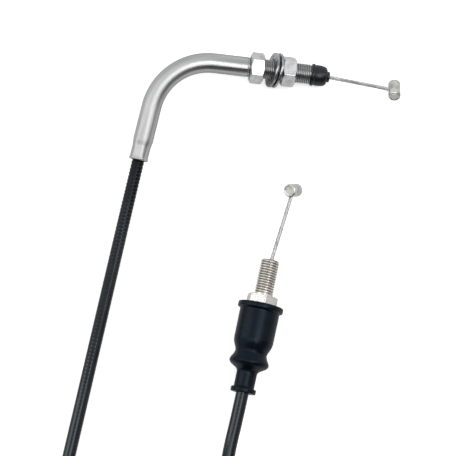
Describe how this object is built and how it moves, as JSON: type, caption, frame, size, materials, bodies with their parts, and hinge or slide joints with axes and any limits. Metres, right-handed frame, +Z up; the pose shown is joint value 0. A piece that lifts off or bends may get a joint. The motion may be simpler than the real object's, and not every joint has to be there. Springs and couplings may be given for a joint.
{
  "type": "throttle cable",
  "caption": "Motorcycle throttle cable: sheathed inner wire with barrel nipples, a bent steel tube with lock nuts at one end and a threaded adjuster under a rubber boot at the other.",
  "frame": {"origin": "on the surface the cable lies on, under the middle of the box round its two end fittings", "axes": "+Z up from that surface, +X towards the free end of the throttle wire, +Y away from the sheath and its coil"},
  "size_m": [0.1422, 0.2405, 0.0181],
  "materials": {
    "polished_steel": "satin polished tube",
    "zinc_plate": "bright zinc plate",
    "washer_steel": "dull zinc plate",
    "nickel_plate": "rolled thread, nickel plate",
    "cast_zinc": "die cast zinc, slightly dimpled",
    "wire_steel": "galvanised strands",
    "conduit_steel": "flat wound spring steel",
    "nylon": "natural nylon",
    "black_rubber": "moulded black rubber",
    "tie_rubber": "moulded black rubber band",
    "sheath_plastic": "black extruded plastic with faint rings"
  },
  "bodies": {
    "housing": {"elbow_tube": "polished_steel", "elbow_liner": "nylon", "dust_cap": "black_rubber", "sheath_ferrule": "washer_steel", "throttle_side_sheath": "sheath_plastic", "carburettor_side_sheath": "sheath_plastic", "sheath_coil": "sheath_plastic", "coil_tie": "tie_rubber", "throttle_side_conduit": "conduit_steel", "throttle_side_liner": "nylon", "throttle_side_still_wire": "wire_steel", "carburettor_side_conduit": "conduit_steel", "carburettor_side_liner": "nylon", "carburettor_side_still_wire": "wire_steel"},
    "inner_nut": {"inner_lock_nut": "zinc_plate"},
    "front_washer_ring": {"front_washer": "washer_steel"},
    "rear_washer_ring": {"rear_washer": "washer_steel"},
    "outer_nut": {"outer_lock_nut": "zinc_plate"},
    "throttle_wire_end": {"throttle_wire": "wire_steel", "throttle_nipple": "cast_zinc"},
    "carburettor_wire_end": {"carburettor_wire": "wire_steel", "carburettor_nipple": "cast_zinc"},
    "adjuster": {"adjuster_screw": "nickel_plate"},
    "boot": {"rubber_boot": "black_rubber"}
  },
  "joints": [
    {"name": "throttle_pull", "type": "slide", "parent": "housing", "child": "throttle_wire_end", "axis": [0.9794, -0.2018, 0.0008], "range_m": [-0.0225, 0.0225], "deforming": ["throttle_wire"]},
    {"name": "carburettor_pull", "type": "slide", "parent": "housing", "child": "carburettor_wire_end", "axis": [0.2975, 0.9514, 0.0798], "range_m": [-0.0225, 0.0225], "deforming": ["carburettor_wire"]},
    {"name": "inner_nut_turn", "type": "hinge", "parent": "housing", "child": "inner_nut", "pos_m": [-0.00324, 0.06261, 0.00784], "axis": [0.9883, -0.0795, -0.1305], "range_deg": [0, 360]},
    {"name": "front_washer_slide", "type": "slide", "parent": "housing", "child": "front_washer_ring", "axis": [0.9883, -0.0795, -0.1305], "range_m": [-0.0015, 0.0003]},
    {"name": "rear_washer_slide", "type": "slide", "parent": "housing", "child": "rear_washer_ring", "axis": [0.9883, -0.0795, -0.1305], "range_m": [0, 0.0063]},
    {"name": "outer_nut_turn", "type": "hinge", "parent": "rear_washer_ring", "child": "outer_nut", "pos_m": [0.00941, 0.06159, 0.00617], "axis": [0.9883, -0.0795, -0.1305], "range_deg": [0, 3060]},
    {"name": "adjuster_turn", "type": "hinge", "parent": "housing", "child": "adjuster", "pos_m": [-0.00028, -0.02614, 0.00924], "axis": [0.2078, 0.9778, 0.0262], "continuous": true},
    {"name": "boot_slide", "type": "slide", "parent": "housing", "child": "boot", "axis": [0.2078, 0.9778, 0.0262], "range_m": [-0.01, 0]}
  ],
  "couplings": [
    {"joint": "carburettor_pull", "follows": "throttle_pull", "ratio": -1},
    {"joint": "outer_nut_turn", "follows": "rear_washer_slide", "rad_per_m": 8377.6}
  ]
}
